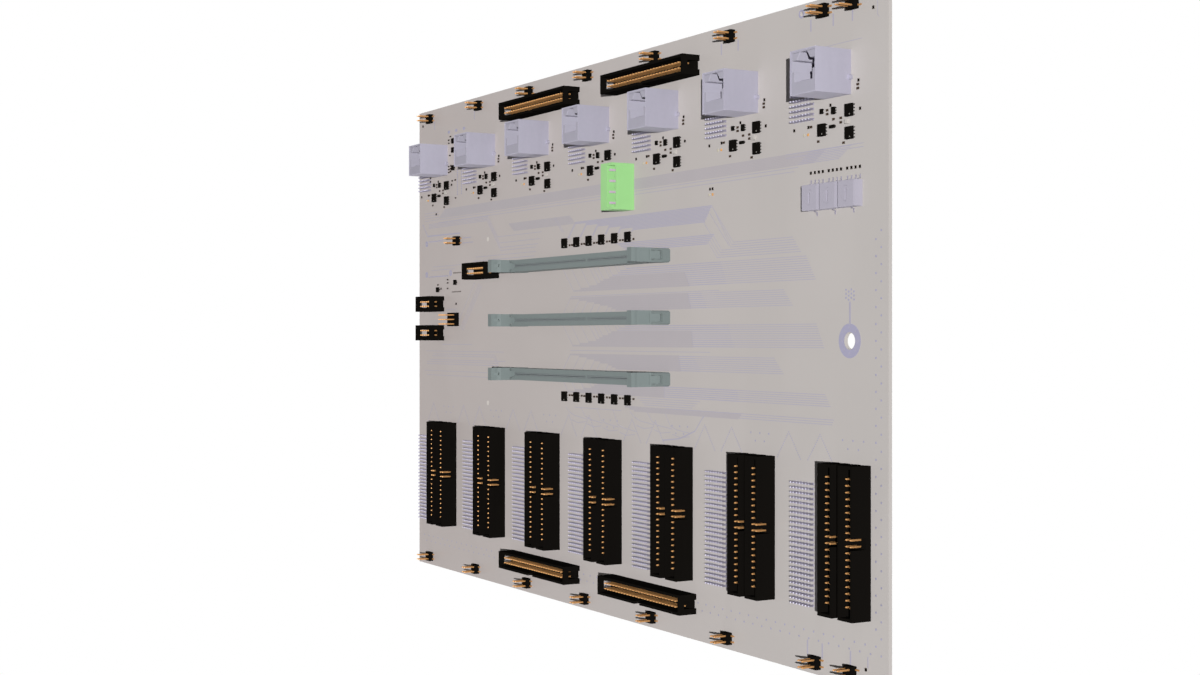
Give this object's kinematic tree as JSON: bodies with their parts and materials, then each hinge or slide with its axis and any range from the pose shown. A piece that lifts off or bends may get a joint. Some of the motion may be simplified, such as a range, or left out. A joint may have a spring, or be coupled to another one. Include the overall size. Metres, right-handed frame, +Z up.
{
  "type": "drive backplane board",
  "caption": "Upright drive backplane board: jacks, ribbon-cable headers, latched memory sockets, rotary code switches and a pluggable terminal on one face, drive connectors behind.",
  "frame": {"origin": "centre of the board's rear face", "axes": "X to the right along the board, Z up it, +Y out of the rear face towards the drives; the components face -Y"},
  "size_m": [0.4274, 0.0346, 0.2648],
  "materials": {
    "board": "pale glass-fibre laminate with a satin solder mask",
    "jack_shell": "tinned sheet with a faint lavender cast",
    "jack_insert": "moulded, matte lavender grey",
    "bus_connector": "moulded, matte lavender grey",
    "header_black": "moulded, matte black",
    "gold_pin": "gold plated",
    "terminal_green": "moulded, light green",
    "terminal_pin": "tinned",
    "chip_black": "moulded epoxy",
    "socket_teal": "moulded, grey green",
    "latch_teal": "moulded, lighter grey green",
    "switch_grey": "moulded, lavender grey",
    "rotor_grey": "moulded, lavender grey"
  },
  "bodies": {
    "board": {"board": "board", "jack_shell_1": "jack_shell", "jack_insert_1": "jack_insert", "bus_connectors_1": "bus_connector", "forty_way_headers_1": "header_black", "jack_shell_2": "jack_shell", "jack_insert_2": "jack_insert", "bus_connectors_2": "bus_connector", "forty_way_headers_2": "header_black", "jack_shell_3": "jack_shell", "jack_insert_3": "jack_insert", "bus_connectors_3": "bus_connector", "forty_way_headers_3": "header_black", "jack_shell_4": "jack_shell", "jack_insert_4": "jack_insert", "bus_connectors_4": "bus_connector", "forty_way_headers_4": "header_black", "jack_shell_5": "jack_shell", "jack_insert_5": "jack_insert", "bus_connectors_5": "bus_connector", "forty_way_headers_5": "header_black", "jack_shell_6": "jack_shell", "jack_insert_6": "jack_insert", "bus_connectors_6": "bus_connector", "forty_way_headers_6": "header_black", "jack_shell_7": "jack_shell", "jack_insert_7": "jack_insert", "bus_connectors_7": "bus_connector", "forty_way_headers_7": "header_black", "fifty_way_header_top_left": "header_black", "fifty_way_header_top_right": "header_black", "fifty_way_header_bottom_left": "header_black", "fifty_way_header_bottom_right": "header_black", "ten_way_header_upper": "header_black", "ten_way_header_lower": "header_black", "sixteen_way_header": "header_black", "pin_header_blocks": "header_black", "jumper_block": "header_black", "pin_header_pins": "gold_pin", "terminal_header": "terminal_green", "terminal_pins": "terminal_pin", "chip_packages": "chip_black", "memory_socket_top": "socket_teal", "memory_socket_middle": "socket_teal", "memory_socket_bottom": "socket_teal", "code_switch_1": "switch_grey", "code_switch_2": "switch_grey", "code_switch_3": "switch_grey"},
    "latch_top_right": {"latch_top_right": "latch_teal"},
    "latch_top_left": {"latch_top_left": "latch_teal"},
    "latch_middle_right": {"latch_middle_right": "latch_teal"},
    "latch_middle_left": {"latch_middle_left": "latch_teal"},
    "latch_bottom_right": {"latch_bottom_right": "latch_teal"},
    "latch_bottom_left": {"latch_bottom_left": "latch_teal"},
    "switch_rotor_1": {"switch_rotor_1": "rotor_grey"},
    "switch_rotor_2": {"switch_rotor_2": "rotor_grey"},
    "switch_rotor_3": {"switch_rotor_3": "rotor_grey"}
  },
  "joints": [
    {"name": "latch_top_right_hinge", "type": "hinge", "parent": "board", "child": "latch_top_right", "pos_m": [0.061, -0.0078, 0.0369], "axis": [0, 0, 1], "range_deg": [0, 35]},
    {"name": "latch_top_left_hinge", "type": "hinge", "parent": "board", "child": "latch_top_left", "pos_m": [-0.0782, -0.0078, 0.0369], "axis": [0, 0, -1], "range_deg": [0, 35]},
    {"name": "latch_middle_right_hinge", "type": "hinge", "parent": "board", "child": "latch_middle_right", "pos_m": [0.061, -0.0078, 0.0089], "axis": [0, 0, 1], "range_deg": [0, 35]},
    {"name": "latch_middle_left_hinge", "type": "hinge", "parent": "board", "child": "latch_middle_left", "pos_m": [-0.0782, -0.0078, 0.0089], "axis": [0, 0, -1], "range_deg": [0, 35]},
    {"name": "latch_bottom_right_hinge", "type": "hinge", "parent": "board", "child": "latch_bottom_right", "pos_m": [0.061, -0.0078, -0.0188], "axis": [0, 0, 1], "range_deg": [0, 35]},
    {"name": "latch_bottom_left_hinge", "type": "hinge", "parent": "board", "child": "latch_bottom_left", "pos_m": [-0.0782, -0.0078, -0.0188], "axis": [0, 0, -1], "range_deg": [0, 35]},
    {"name": "switch_rotor_1_turn", "type": "hinge", "parent": "board", "child": "switch_rotor_1", "pos_m": [0.17065, -0.0058, 0.0548], "axis": [0, -1, 0], "continuous": true},
    {"name": "switch_rotor_2_turn", "type": "hinge", "parent": "board", "child": "switch_rotor_2", "pos_m": [0.18205, -0.0058, 0.0548], "axis": [0, -1, 0], "continuous": true},
    {"name": "switch_rotor_3_turn", "type": "hinge", "parent": "board", "child": "switch_rotor_3", "pos_m": [0.19345, -0.0058, 0.0548], "axis": [0, -1, 0], "continuous": true}
  ]
}
